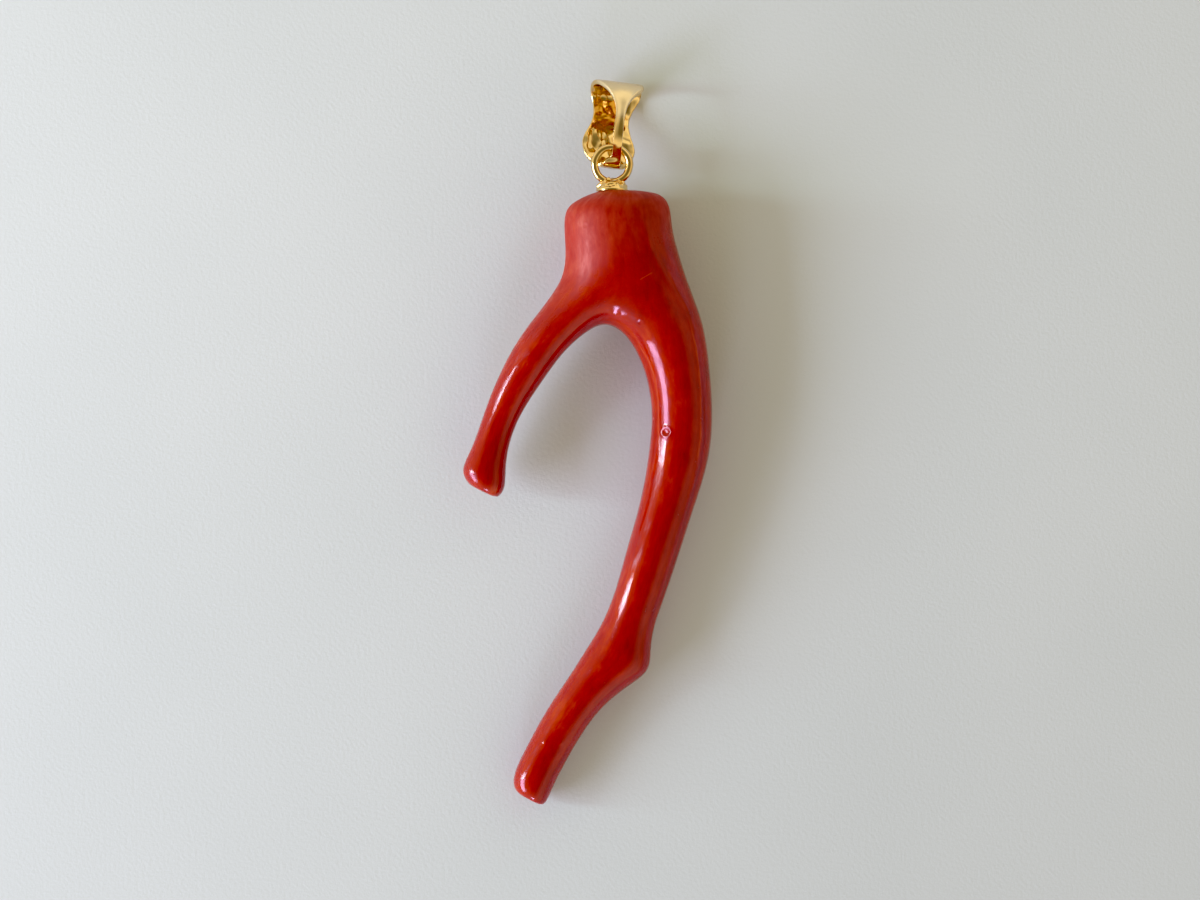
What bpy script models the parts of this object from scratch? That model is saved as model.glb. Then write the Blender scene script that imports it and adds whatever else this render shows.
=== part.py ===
"""A polished red coral branch pendant, lying on a table as it does when it is taken off.

The coral is one branch that forks in two: a thick trunk with a cut top, a long branch and a short
one. A small gold cap with a post is glued into the trunk's cut top, a gold ring is soldered to the
cap, and a cast gold bail hangs in the ring and takes the chain.

+Z is up, +Y runs from the coral's tip to the bail, and the origin is under the middle of the
object, on the table. Lengths in this file are in millimetres, and MM turns them into metres.
"""

import math

import bmesh
import bpy
from mathutils import Vector

MM = 0.001

# Coral. A section is a cut square across the branch, seen from above:
# (left x, left y, right x, right y, half depth, height of its middle above the table).
TRUNK_SECTIONS = (
    (1.20, 25.08, 5.00, 25.12, 1.60, 4.75),
    (0.10, 24.75, 6.45, 25.00, 2.75, 4.75),
    (-1.30, 24.08, 7.60, 24.60, 3.90, 4.75),
    (-2.15, 23.35, 8.15, 23.75, 4.50, 4.75),
    (-2.38, 22.20, 8.36, 22.70, 4.68, 4.75),
    (-2.35, 20.80, 8.48, 21.10, 4.70, 4.75),
    (-2.25, 19.00, 8.95, 19.40, 4.60, 4.75),
    (-2.30, 17.30, 9.48, 17.70, 4.45, 4.72),
    (-2.80, 15.80, 10.15, 15.75, 4.30, 4.68),
)
LONG_BRANCH_SECTIONS = (
    (4.00, 10.70, 11.55, 12.20, 3.55, 3.95),
    (5.45, 8.05, 12.10, 9.10, 3.45, 3.78),
    (6.25, 5.10, 12.45, 5.70, 3.35, 3.48),
    (6.50, 2.20, 12.60, 2.10, 3.25, 3.32),
    (6.15, -1.00, 12.30, -1.80, 3.12, 3.22),
    (5.55, -4.80, 10.85, -6.15, 2.93, 3.23),
    (4.70, -8.10, 9.80, -9.45, 2.82, 3.23),
    (3.75, -11.30, 8.75, -12.65, 2.72, 3.21),
    (2.90, -14.50, 7.70, -15.80, 2.58, 3.14),
    (2.00, -17.00, 6.70, -18.50, 2.42, 2.82),
    (1.10, -18.80, 6.35, -20.85, 2.52, 2.68),
    (0.25, -20.20, 6.35, -23.05, 2.60, 2.65),
    (-0.70, -21.70, 4.45, -24.30, 2.45, 2.60),
    (-1.85, -23.50, 1.90, -26.20, 2.25, 2.50),
    (-3.25, -25.55, 0.30, -28.15, 2.15, 2.40),
    (-4.70, -27.85, -1.05, -30.20, 2.10, 2.25),
    (-6.00, -30.35, -2.35, -32.50, 2.05, 2.12),
    (-7.05, -32.40, -3.35, -34.50, 2.05, 2.08),
    (-7.55, -33.80, -3.80, -35.55, 1.95, 2.05),
    (-7.45, -34.95, -4.25, -36.50, 1.60, 2.05),
    (-6.80, -35.55, -4.85, -36.60, 1.05, 2.05),
)
SHORT_BRANCH_SECTIONS = (
    (-3.85, 14.30, 0.15, 11.25, 2.75, 4.95),
    (-5.65, 12.05, -2.05, 9.35, 2.45, 5.10),
    (-7.20, 9.85, -3.55, 7.40, 2.25, 4.88),
    (-8.40, 7.70, -4.75, 5.70, 2.05, 4.50),
    (-9.45, 5.40, -6.05, 3.80, 1.85, 4.10),
    (-10.25, 3.30, -7.05, 2.00, 1.68, 3.82),
    (-10.90, 1.40, -7.70, 0.20, 1.62, 3.70),
    (-11.60, -0.50, -8.10, -1.60, 1.75, 3.68),
    (-12.40, -2.10, -8.18, -3.50, 2.00, 3.70),
    (-12.60, -3.15, -8.25, -4.70, 1.95, 3.70),
    (-12.05, -4.15, -8.80, -5.50, 1.55, 3.68),
    (-11.40, -4.60, -9.35, -5.60, 1.05, 3.68),
)
# The saddle between the two branches: (x, y, height above the trunk's middle), underside first.
SADDLE = (
    (1.90, 13.50, -3.40),
    (1.95, 12.35, -1.90),
    (2.00, 11.85, 0.00),
    (1.95, 12.35, 1.90),
    (1.90, 13.50, 3.40),
)
SADDLE_HEIGHT = 4.60
RING_POINTS = 12
CORAL_SUBDIVISIONS = 1
# How far a closed cubic curve through this many points pulls inside them.
CORAL_CAGE_GROWTH = 6 / (4 + 2 * math.cos(2 * math.pi / RING_POINTS))

# The trunk is a node of its own above these two cuts: (left x, left y, right x, right y).
LONG_CUT = (4.00, 10.70, 11.55, 12.20)
SHORT_CUT = (-3.85, 14.30, 0.15, 11.25)
CUT_GAP = 0.20
CUT_REACH = 20.0

# Cap, post and ring.
FINDING_X = 2.45
FINDING_HEIGHT = 4.72
CAP_BOTTOM_Y = 25.15
CAP_HEIGHT = 0.90
CAP_BOTTOM_RADIUS = 1.62
CAP_TOP_RADIUS = 1.38
CAP_EDGE = 0.12
POST_RADIUS = 0.45
POST_LENGTH = 4.0
BORE_CLEARANCE = 0.10
RING_CENTRE_Y = 27.72
RING_RADIUS = 1.74
RING_WIRE_RADIUS = 0.39
GROOVE_CLEARANCE = 0.05
ROUND_STEPS = 28

# The bail is a cast band bent to a closed loop round the ring's wire. It lies with its right edge
# lower than its left one, and a little turned in the ring. Its sections run from the bottom bend up
# the tail, over the fold and down the wide plate:
# (left edge, right edge, distance up from the wire, height over the wire, thickness, camber).
BAIL_LEAN = math.radians(12.0)
BAIL_TURN = math.radians(6.0)
BAIL_SECTIONS = (
    (-0.95, 0.80, -1.98, -0.35, 0.60, 0.06),
    (-0.92, 0.80, -1.80, 0.10, 0.50, 0.10),
    (-0.70, 0.84, -1.40, 0.36, 0.44, 0.08),
    (-0.02, 0.90, -0.98, 0.58, 0.34, 0.00),
    (0.05, 0.95, -0.29, 1.10, 0.34, 0.00),
    (0.10, 1.00, 0.42, 1.62, 0.34, 0.00),
    (0.14, 1.05, 0.98, 1.98, 0.36, 0.00),
    (0.18, 1.12, 1.55, 2.10, 0.38, 0.00),
    (0.25, 1.18, 2.20, 2.02, 0.38, 0.00),
    (0.42, 1.28, 3.05, 1.82, 0.40, 0.02),
    (0.42, 1.45, 4.00, 1.60, 0.42, 0.03),
    (0.10, 2.00, 4.95, 1.38, 0.44, 0.06),
    (-0.35, 2.75, 5.65, 0.95, 0.46, 0.10),
    (-0.90, 3.22, 6.14, 0.15, 0.48, 0.12),
    (-1.40, 3.10, 6.50, -0.85, 0.48, 0.12),
    (-1.85, 2.90, 6.57, -2.00, 0.48, 0.06),
    (-2.15, 3.00, 6.22, -3.15, 0.48, 0.00),
    (-2.12, 2.85, 5.50, -3.87, 0.46, -0.06),
    (-1.88, 2.35, 4.60, -4.05, 0.46, -0.12),
    (-1.80, 1.80, 3.60, -3.75, 0.46, -0.12),
    (-1.98, 1.62, 2.60, -3.15, 0.46, -0.10),
    (-2.48, 1.78, 1.65, -2.50, 0.46, -0.04),
    (-2.92, 2.10, 0.75, -2.22, 0.46, 0.02),
    (-2.98, 2.35, -0.05, -2.02, 0.46, 0.02),
    (-2.68, 2.02, -0.85, -1.74, 0.46, 0.00),
    (-2.32, 1.75, -1.45, -1.44, 0.46, 0.00),
    (-1.05, 1.00, -1.85, -0.90, 0.58, 0.00),
)
BAIL_SUBDIVISIONS = 1
BAIL_ACROSS = (-1.0, -0.55, 0.0, 0.55, 1.0)
# How far rounding draws the band's edges in, made up for in its cage.
BAIL_CAGE_GROWTH = 1.08


def clear_scene():
    """Empty the scene, without closing the file that holds this script."""
    for old in list(bpy.data.objects):
        bpy.data.objects.remove(old)


def material(name, colour, roughness, metallic):
    """A Principled material of one colour."""
    made = bpy.data.materials.new(name)
    made.use_nodes = True
    shader = made.node_tree.nodes["Principled BSDF"]
    shader.inputs["Base Color"].default_value = (*colour, 1.0)
    shader.inputs["Roughness"].default_value = roughness
    shader.inputs["Metallic"].default_value = metallic
    made.diffuse_color = (*colour, 1.0)
    return made


def add_object(name, mesh, finish=None):
    """A new object in the scene that holds this mesh."""
    made = bpy.data.objects.new(name, mesh)
    bpy.context.scene.collection.objects.link(made)
    if finish is not None:
        made.data.materials.append(finish)
    return made


def mesh_of(name, points, faces, smooth=True):
    """A mesh from points in millimetres, with its faces turned outwards."""
    made = bpy.data.meshes.new(name)
    made.from_pydata([Vector(p) * MM for p in points], [], faces)
    work = bmesh.new()
    work.from_mesh(made)
    bmesh.ops.recalc_face_normals(work, faces=work.faces)
    work.to_mesh(made)
    work.free()
    if smooth:
        made.shade_smooth()
    return made


def helper(name, mesh):
    """A cutter: it shapes other objects and isn't a piece itself."""
    made = add_object(name, mesh)
    made.hide_render = True
    made.display_type = "WIRE"
    return made


def subdivide(piece, levels):
    """Round a cage off, the same in the viewport and in a render."""
    rounded = piece.modifiers.new("rounded", "SUBSURF")
    rounded.levels = levels
    rounded.render_levels = levels


def cut(piece, cutter, operation):
    """Leave what the cutter leaves of the piece."""
    step = piece.modifiers.new(cutter.name, "BOOLEAN")
    step.operation = operation
    step.object = cutter
    step.solver = "EXACT"


def section_ring(section):
    """The cage points of one section of the coral, anticlockwise from its right edge."""
    left_x, left_y, right_x, right_y, half_depth, height = section
    middle = Vector(((left_x + right_x) / 2, (left_y + right_y) / 2, height))
    across = Vector(((right_x - left_x) / 2, (right_y - left_y) / 2, 0)) * CORAL_CAGE_GROWTH
    upwards = Vector((0, 0, half_depth * CORAL_CAGE_GROWTH))
    angles = (2 * math.pi * k / RING_POINTS for k in range(RING_POINTS))
    return [middle + across * math.cos(a) + upwards * math.sin(a) for a in angles]


def coral_mesh():
    """The whole coral as one cage, with the trunk's last ring split over the two branches."""
    points, faces = [], []

    def add_points(new):
        points.extend(new)
        return list(range(len(points) - len(new), len(points)))

    def bridge(first, second):
        for k in range(RING_POINTS):
            after = (k + 1) % RING_POINTS
            faces.append((first[k], first[after], second[after], second[k]))

    quarter = RING_POINTS // 4
    trunk = [add_points(section_ring(s)) for s in TRUNK_SECTIONS]
    saddle = add_points([Vector((x, y, SADDLE_HEIGHT + z)) for x, y, z in SADDLE])
    for first, second in zip(trunk, trunk[1:]):
        bridge(first, second)
    faces.append(tuple(trunk[0]))

    fork = trunk[-1]
    top, bottom = quarter, 3 * quarter
    left_start = saddle[2:] + fork[top : bottom + 1] + saddle[:2]
    right_start = fork[: top + 1] + saddle[::-1] + fork[bottom:]
    for start, sections in (
        (left_start, SHORT_BRANCH_SECTIONS),
        (right_start, LONG_BRANCH_SECTIONS),
    ):
        rings = [start] + [add_points(section_ring(s)) for s in sections]
        for first, second in zip(rings, rings[1:]):
            bridge(first, second)
        faces.append(tuple(rings[-1]))
    return mesh_of("coral", points, faces)


def prism(name, outline, low, high):
    """An upright prism over an outline, as a cutter."""
    count = len(outline)
    points = [(x, y, z) for z in (low, high) for x, y in outline]
    faces = [tuple(range(count)), tuple(range(count, 2 * count))]
    faces += [
        (k, (k + 1) % count, count + (k + 1) % count, count + k) for k in range(count)
    ]
    return helper(name, mesh_of(name, points, faces, smooth=False))


def moved_cut(line, outwards):
    """A cut's two ends, moved away from the trunk, with its left end first."""
    left, right = Vector(line[:2]), Vector(line[2:])
    along = (right - left).normalized()
    away = Vector((along.y, -along.x)) * outwards
    return left + away, right + away, along


def long_side(name, outwards):
    """A prism that holds all of the long branch and nothing of the short one."""
    left, right, along = moved_cut(LONG_CUT, outwards)
    outline = [
        left - along * 1.2,
        right + along * 4,
        (CUT_REACH, right.y),
        (CUT_REACH, -45),
        (-CUT_REACH, -45),
        (-CUT_REACH, -10),
        (1.5, -10),
        (1.5, 8),
    ]
    return prism(name, [tuple(p) for p in outline], -CUT_REACH, CUT_REACH)


def short_side(name, outwards):
    """A prism that holds all of the short branch and nothing of the long one."""
    left, right, along = moved_cut(SHORT_CUT, outwards)
    far_left = left - along * 4
    far_right = right + along * 1.2
    outline = [
        far_left,
        far_right,
        (far_right.x, -9),
        (-CUT_REACH, -9),
        (-CUT_REACH, far_left.y),
    ]
    return prism(name, [tuple(p) for p in outline], -CUT_REACH, CUT_REACH)


def turned(name, profile, steps=ROUND_STEPS):
    """A round solid about +Y, from (y, radius) pairs that start and end on the axis."""
    points, faces = [], []
    rings = []
    for y, radius in profile:
        count = steps if radius > 0 else 1
        rings.append(list(range(len(points), len(points) + count)))
        points += [
            (
                radius * math.cos(2 * math.pi * k / steps),
                y,
                radius * math.sin(2 * math.pi * k / steps),
            )
            for k in range(count)
        ]
    for first, second in zip(rings, rings[1:]):
        for k in range(steps):
            after = (k + 1) % steps
            face = [
                first[k % len(first)],
                first[after % len(first)],
                second[after % len(second)],
                second[k % len(second)],
            ]
            faces.append(tuple(dict.fromkeys(face)))
    return mesh_of(name, points, faces)


def at_finding(piece, y):
    """Put a piece on the axis that the cap and the ring share."""
    piece.location = Vector((FINDING_X, y, FINDING_HEIGHT)) * MM


def torus_mesh(name, radius, wire_radius, steps, wire_steps):
    """A ring that lies in the XY plane."""
    points, faces = [], []
    for i in range(steps):
        around = 2 * math.pi * i / steps
        for j in range(wire_steps):
            over = 2 * math.pi * j / wire_steps
            reach = radius + wire_radius * math.cos(over)
            height = wire_radius * math.sin(over)
            points.append((reach * math.cos(around), reach * math.sin(around), height))
            after_i = (i + 1) % steps
            after_j = (j + 1) % wire_steps
            faces.append(
                (
                    i * wire_steps + j,
                    after_i * wire_steps + j,
                    after_i * wire_steps + after_j,
                    i * wire_steps + after_j,
                )
            )
    return mesh_of(name, points, faces)


def build_coral(finish):
    """The trunk and the two branches, cut from one blended surface."""
    whole = coral_mesh()
    trunk = add_object("coral_trunk", whole, finish)
    long_branch = add_object("coral_long_branch", whole)
    short_branch = add_object("coral_short_branch", whole)
    for piece in (trunk, long_branch, short_branch):
        subdivide(piece, CORAL_SUBDIVISIONS)
    half_gap = CUT_GAP / 2
    cut(trunk, long_side("beyond_long_cut", -half_gap), "DIFFERENCE")
    cut(trunk, short_side("beyond_short_cut", -half_gap), "DIFFERENCE")
    cut(long_branch, long_side("long_branch_side", half_gap), "INTERSECT")
    cut(short_branch, short_side("short_branch_side", half_gap), "INTERSECT")

    bore_radius = POST_RADIUS + BORE_CLEARANCE
    bore_profile = (
        (1.0, 0.0),
        (1.0, bore_radius),
        (-POST_LENGTH - BORE_CLEARANCE, bore_radius),
        (-POST_LENGTH - BORE_CLEARANCE, 0.0),
    )
    bore = helper("post_bore", turned("post_bore", bore_profile))
    at_finding(bore, CAP_BOTTOM_Y)
    cut(trunk, bore, "DIFFERENCE")


def build_cap(finish):
    """The gold cap: a low cone that the ring is soldered into, and the post glued into the coral."""
    profile = (
        (CAP_HEIGHT, 0.0),
        (CAP_HEIGHT, CAP_TOP_RADIUS - CAP_EDGE),
        (CAP_HEIGHT - CAP_EDGE, CAP_TOP_RADIUS),
        (CAP_EDGE, CAP_BOTTOM_RADIUS),
        (0.0, CAP_BOTTOM_RADIUS - CAP_EDGE / 2),
        (0.0, POST_RADIUS),
        (-POST_LENGTH + POST_RADIUS / 2, POST_RADIUS),
        (-POST_LENGTH, POST_RADIUS / 2),
        (-POST_LENGTH, 0.0),
    )
    cap = add_object("cap", turned("cap", profile), finish)
    at_finding(cap, CAP_BOTTOM_Y)
    groove_radius = RING_WIRE_RADIUS + GROOVE_CLEARANCE
    groove = helper(
        "ring_groove", torus_mesh("ring_groove", RING_RADIUS, groove_radius, 36, 14)
    )
    at_finding(groove, RING_CENTRE_Y)
    cut(cap, groove, "DIFFERENCE")


def build_ring(finish):
    """The gold wire ring that the bail hangs in."""
    mesh = torus_mesh("ring", RING_RADIUS, RING_WIRE_RADIUS, 36, 12)
    ring = add_object("ring", mesh, finish)
    at_finding(ring, RING_CENTRE_Y)


def bail_mesh():
    """The bail's band as a cage, with the ring's wire along X at the origin."""
    count = len(BAIL_SECTIONS)
    points, faces = [], []
    for i, (left, right, y, z, thickness, camber) in enumerate(BAIL_SECTIONS):
        before = BAIL_SECTIONS[i - 1]
        after = BAIL_SECTIONS[(i + 1) % count]
        along = Vector((0, after[2] - before[2], after[3] - before[3])).normalized()
        outwards = Vector((0, -along.z, along.y))
        middle = (left + right) / 2
        half_width = (right - left) / 2 * BAIL_CAGE_GROWTH
        for side, order in ((0.5, BAIL_ACROSS), (-0.5, BAIL_ACROSS[::-1])):
            for share in order:
                x = middle + half_width * share
                lift = thickness * side + camber * (1 - share * share)
                shear = Vector((0, -x * math.tan(BAIL_TURN), -x * math.tan(BAIL_LEAN)))
                points.append(Vector((x, y, z)) + shear + outwards * lift)
    per_section = 2 * len(BAIL_ACROSS)
    for i in range(count):
        first, second = i * per_section, ((i + 1) % count) * per_section
        for k in range(per_section):
            after_k = (k + 1) % per_section
            faces.append((first + k, first + after_k, second + after_k, second + k))
    return mesh_of("bail", points, faces)


def build_bail(finish):
    """The bail, with its origin on the ring's wire, which it swings round."""
    bail = add_object("bail", bail_mesh(), finish)
    at_finding(bail, RING_CENTRE_Y + RING_RADIUS)
    subdivide(bail, BAIL_SUBDIVISIONS)


def main():
    clear_scene()
    coral = material("red coral", (0.52, 0.022, 0.010), 0.15, 0.0)
    gold = material("yellow gold", (0.86, 0.58, 0.20), 0.12, 1.0)
    build_coral(coral)
    build_cap(gold)
    build_ring(gold)
    build_bail(gold)


main()
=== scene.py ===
import math

import bmesh
import bpy
import numpy as np
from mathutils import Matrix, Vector, noise
from mathutils.bvhtree import BVHTree


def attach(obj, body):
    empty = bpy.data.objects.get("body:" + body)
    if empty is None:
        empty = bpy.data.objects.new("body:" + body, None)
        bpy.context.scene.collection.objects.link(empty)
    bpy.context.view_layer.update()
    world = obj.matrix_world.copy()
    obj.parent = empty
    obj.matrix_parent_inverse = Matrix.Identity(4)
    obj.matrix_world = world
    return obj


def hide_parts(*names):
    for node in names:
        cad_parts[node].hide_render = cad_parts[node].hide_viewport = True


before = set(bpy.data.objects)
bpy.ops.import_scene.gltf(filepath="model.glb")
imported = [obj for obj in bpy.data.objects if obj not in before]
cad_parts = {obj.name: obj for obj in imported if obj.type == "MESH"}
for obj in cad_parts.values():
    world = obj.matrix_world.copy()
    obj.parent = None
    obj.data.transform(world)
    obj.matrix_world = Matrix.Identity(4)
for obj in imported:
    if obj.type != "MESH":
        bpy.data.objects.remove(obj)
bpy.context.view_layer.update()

# The red coral pendant as it looks: a polished coral branch with a gold cap, ring and bail, lying
# on a pale surface by a window. Lengths are in millimetres, in the frame's axes. MM makes metres.
MM = 0.001

# A section is a cut square across the branch, seen from above:
# (left x, left y, right x, right y, half depth, height of its middle above the table).
TRUNK_SECTIONS = (
    (1.20, 25.08, 5.00, 25.12, 1.60, 4.75),
    (0.10, 24.75, 6.45, 25.00, 2.75, 4.75),
    (-1.30, 24.08, 7.60, 24.60, 3.90, 4.75),
    (-2.15, 23.35, 8.15, 23.75, 4.50, 4.75),
    (-2.38, 22.20, 8.36, 22.70, 4.68, 4.75),
    (-2.35, 20.80, 8.48, 21.10, 4.70, 4.75),
    (-2.25, 19.00, 8.95, 19.40, 4.60, 4.75),
    (-2.30, 17.30, 9.48, 17.70, 4.45, 4.72),
    (-2.80, 15.80, 10.15, 15.75, 4.30, 4.68),
)
LONG_BRANCH_SECTIONS = (
    (4.00, 10.70, 11.55, 12.20, 3.55, 3.95),
    (5.45, 8.05, 12.10, 9.10, 3.45, 3.78),
    (6.25, 5.10, 12.45, 5.70, 3.35, 3.48),
    (6.50, 2.20, 12.60, 2.10, 3.25, 3.32),
    (6.15, -1.00, 12.30, -1.80, 3.12, 3.22),
    (5.55, -4.80, 10.85, -6.15, 2.93, 3.23),
    (4.70, -8.10, 9.80, -9.45, 2.82, 3.23),
    (3.75, -11.30, 8.75, -12.65, 2.72, 3.21),
    (2.90, -14.50, 7.70, -15.80, 2.58, 3.14),
    (2.00, -17.00, 6.70, -18.50, 2.42, 2.82),
    (1.10, -18.80, 6.35, -20.85, 2.52, 2.68),
    (0.25, -20.20, 6.35, -23.05, 2.60, 2.65),
    (-0.70, -21.70, 4.45, -24.30, 2.45, 2.60),
    (-1.85, -23.50, 1.90, -26.20, 2.25, 2.50),
    (-3.25, -25.55, 0.30, -28.15, 2.15, 2.40),
    (-4.70, -27.85, -1.05, -30.20, 2.10, 2.25),
    (-6.00, -30.35, -2.35, -32.50, 2.05, 2.12),
    (-7.05, -32.40, -3.35, -34.50, 2.05, 2.08),
    (-7.55, -33.80, -3.80, -35.55, 1.95, 2.05),
    (-7.45, -34.95, -4.25, -36.50, 1.60, 2.05),
    (-6.80, -35.55, -4.85, -36.60, 1.05, 2.05),
)
SHORT_BRANCH_SECTIONS = (
    (-3.85, 14.30, 0.15, 11.25, 2.75, 4.95),
    (-5.65, 12.05, -2.05, 9.35, 2.45, 5.10),
    (-7.20, 9.85, -3.55, 7.40, 2.25, 4.88),
    (-8.40, 7.70, -4.75, 5.70, 2.05, 4.50),
    (-9.45, 5.40, -6.05, 3.80, 1.85, 4.10),
    (-10.25, 3.30, -7.05, 2.00, 1.68, 3.82),
    (-10.90, 1.40, -7.70, 0.20, 1.62, 3.70),
    (-11.60, -0.50, -8.10, -1.60, 1.75, 3.68),
    (-12.40, -2.10, -8.18, -3.50, 2.00, 3.70),
    (-12.60, -3.15, -8.25, -4.70, 1.95, 3.70),
    (-12.05, -4.15, -8.80, -5.50, 1.55, 3.68),
    (-11.40, -4.60, -9.35, -5.60, 1.05, 3.68),
)
# The saddle between the two branches: (x, y, height above the trunk's middle), underside first.
SADDLE = (
    (1.90, 13.50, -3.40),
    (1.95, 12.35, -1.90),
    (2.00, 11.85, 0.00),
    (1.95, 12.35, 1.90),
    (1.90, 13.50, 3.40),
)
SADDLE_HEIGHT = 4.60
RING_POINTS = 12
CORAL_LEVELS = 3
CORAL_CAGE_GROWTH = 6 / (4 + 2 * math.cos(2 * math.pi / RING_POINTS))
# Half the trunk's width and depth, in which the grain is measured at every thickness.
GRAIN_HALF_WIDTH = 5.5
GRAIN_HALF_DEPTH = 4.6

# Small marks on the coral's upper side: (x, y, radius, depth, height of the rim round it).
MARKS = (
    (7.80, 0.99, 0.34, 0.100, 0.055),
    (5.20, 11.85, 0.22, 0.040, 0.015),
    (5.21, 9.10, 0.14, 0.030, 0.010),
    (5.51, 8.20, 0.14, 0.030, 0.010),
    (2.75, 12.95, 0.46, 0.045, 0.010),
    (-0.23, 21.40, 0.22, 0.020, 0.008),
    (-4.26, -30.04, 0.26, -0.040, 0.0),
    (-2.66, -30.14, 0.26, -0.040, 0.0),
)
# The upper side, which carries the marks, is above this height.
UPPER_SIDE = 2.5
# Where a mark's rim runs and how wide it is, as shares of the mark's radius.
RIM_REACH = 1.35
RIM_WIDTH = 0.45
# How far round a mark the faces are made smaller, in turn, as shares of its radius and more.
REFINED_REACHES = (3.2, 2.2)
REFINED_MARGIN = 0.15

# A soft ridge down the trunk's right side: (x, y) along it, its half width and its height.
TRUNK_RIDGE = ((5.75, 21.6), (6.45, 19.2), (7.65, 16.9), (10.0, 13.0), (10.6, 11.0))
TRUNK_RIDGE_HALF_WIDTH = 0.42
TRUNK_RIDGE_HEIGHT = 0.13
# It fades in between these heights above the table.
TRUNK_RIDGE_FROM = 2.8
TRUNK_RIDGE_TO = 3.8

# Fine lines along the upper side, two slight ridges and one slight groove, each with a painted
# reflection:
# the first and last are light lines of painted highlight, the middle one a dark line of painted
# shade.
# From top to bottom: (x, y) along the line, half width, how much lighter it is and how far it
# stands out.
RIDGE_REFLECTION_LINES = (
    (
        ((10.0, 12.4), (10.8, 9.6), (11.15, 6.9), (11.3, 4.5), (11.3, 0.4), (10.85, -2.6)),
        0.14,
        0.20,
        1.4,
    ),
    (((11.5, 5.0), (11.65, 0.4), (11.2, -2.6), (9.2, -9.9), (7.0, -16.8)), 0.18, -0.16, -1.0),
    (((4.8, 10.3), (6.05, 8.2), (6.75, 6.3), (7.05, 3.9), (7.1, -2.0)), 0.12, 0.20, 1.4),
)
# How far a line stands out, against the grain's bumps.
LINE_BUMP = 3.0

# A fine scratch on the trunk: (start, end, half width, strength).
SCRATCH = ((5.23, 16.05, 8.9), (6.35, 16.70, 8.9), 0.065, 0.34)
# Paler spots: the pale core at the short branch's cut tip and pale patches in the coral, and two
# painted highlights, the glint at (1.85, -18.80) and the soft reflection at (-6.90, 10.00): (x, y,
# radius, strength).
PALE_SPOTS_AND_GLINTS = (
    (1.25, -22.50, 0.45, 0.10),
    (1.85, -18.80, 0.80, 0.09),
    (-2.55, -26.60, 1.60, 0.10),
    (-9.30, -4.95, 0.80, 0.30),
    (-6.90, 10.00, 0.90, 0.16),
)

# The coral lies this far inside its cage's surface, so that its relief stays inside the exact box.
CORAL_INSET = 0.036
# The coral turns from matte to polished down the branch, along a line that leans with x: the
# lean, the x it turns about, and where on it the polish is whole and where it is gone.
POLISH_LEAN = 0.7
POLISH_X = 2.5
POLISH_WHOLE = 13.5
POLISH_GONE = 21.5
# Painted light and shade: the side that faces left, towards the window, is painted lighter and more
# orange, and the side that faces right darker. This is how far the surface leans to the left or
# right, as its normal's x, where that painted tone is whole.
LIT_SIDE_TURN = 0.75
# Where along y the trunk's stronger unevenness fades in.
TRUNK_FROM = 9.0
TRUNK_TO = 16.0


def subdivided(name, points, faces, levels):
    """The points and faces of a rounded cage, as arrays."""
    cage = bpy.data.meshes.new(name + "_cage")
    cage.from_pydata([Vector(p) for p in points], [], faces)
    holder = bpy.data.objects.new(name + "_cage", cage)
    bpy.context.scene.collection.objects.link(holder)
    rounding = holder.modifiers.new("rounded", "SUBSURF")
    rounding.levels = rounding.render_levels = levels
    fine = holder.evaluated_get(bpy.context.evaluated_depsgraph_get()).to_mesh()
    places = np.empty(len(fine.vertices) * 3, np.float32)
    fine.vertices.foreach_get("co", places)
    fine_faces = [tuple(p.vertices) for p in fine.polygons]
    bpy.data.objects.remove(holder)
    bpy.data.meshes.remove(cage)
    return places.reshape(-1, 3).astype(float), fine_faces


def ring_angles():
    return [2 * math.pi * k / RING_POINTS for k in range(RING_POINTS)]


def section_ring(section):
    """The cage points of one section of the coral, anticlockwise from its right edge."""
    left_x, left_y, right_x, right_y, half_depth, height = section
    middle = Vector(((left_x + right_x) / 2, (left_y + right_y) / 2, height))
    across = Vector(((right_x - left_x) / 2, (right_y - left_y) / 2, 0)) * CORAL_CAGE_GROWTH
    upwards = Vector((0, 0, half_depth * CORAL_CAGE_GROWTH))
    return [middle + across * math.cos(a) + upwards * math.sin(a) for a in ring_angles()]


def grain_ring(along, middle, half):
    """Where a section lies in the grain: across, along and through the branch."""
    return [
        Vector((
            (middle + half * math.cos(a)) * GRAIN_HALF_WIDTH,
            along,
            GRAIN_HALF_DEPTH * math.sin(a),
        ))
        for a in ring_angles()
    ]


def section_middle(section):
    return Vector(((section[0] + section[2]) / 2, (section[1] + section[3]) / 2))


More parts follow.
